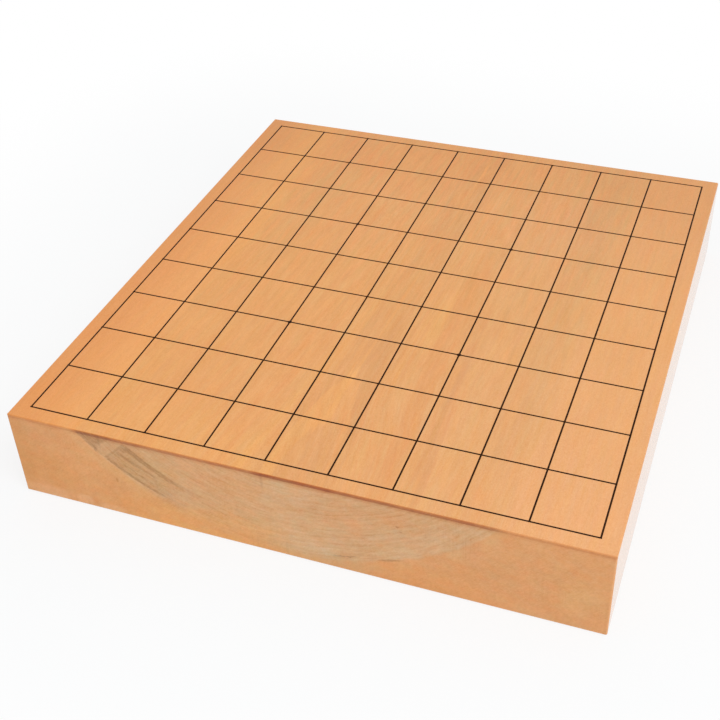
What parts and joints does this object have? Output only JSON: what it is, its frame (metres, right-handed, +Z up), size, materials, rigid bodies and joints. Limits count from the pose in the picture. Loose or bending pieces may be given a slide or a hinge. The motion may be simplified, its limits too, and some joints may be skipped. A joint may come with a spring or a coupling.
{
  "type": "tabletop shogi board",
  "caption": "Thick solid wooden board for playing shogi on a table, with a grid of near-square cells and small star points in raised black lacquer.",
  "frame": {"origin": "centre of the underside, which is the lowest plane of the board", "axes": "+Z up out of the playing surface, +Y from the near player towards the far player along the grain, +X to the near player's right"},
  "size_m": [0.333, 0.364, 0.0573],
  "materials": {
    "katsura_wood": "planed and waxed, satin",
    "black_lacquer": "cured black lacquer, soft gloss"
  },
  "bodies": {
    "root": {"plank": "katsura_wood", "file_line_1": "black_lacquer", "file_line_2": "black_lacquer", "file_line_3": "black_lacquer", "file_line_4": "black_lacquer", "file_line_5": "black_lacquer", "file_line_6": "black_lacquer", "file_line_7": "black_lacquer", "file_line_8": "black_lacquer", "file_line_9": "black_lacquer", "file_line_10": "black_lacquer", "rank_line_1": "black_lacquer", "rank_line_2": "black_lacquer", "rank_line_3": "black_lacquer", "rank_line_4": "black_lacquer", "rank_line_5": "black_lacquer", "rank_line_6": "black_lacquer", "rank_line_7": "black_lacquer", "rank_line_8": "black_lacquer", "rank_line_9": "black_lacquer", "rank_line_10": "black_lacquer", "star_point_1": "black_lacquer", "star_point_2": "black_lacquer", "star_point_3": "black_lacquer", "star_point_4": "black_lacquer"}
  },
  "joints": []
}
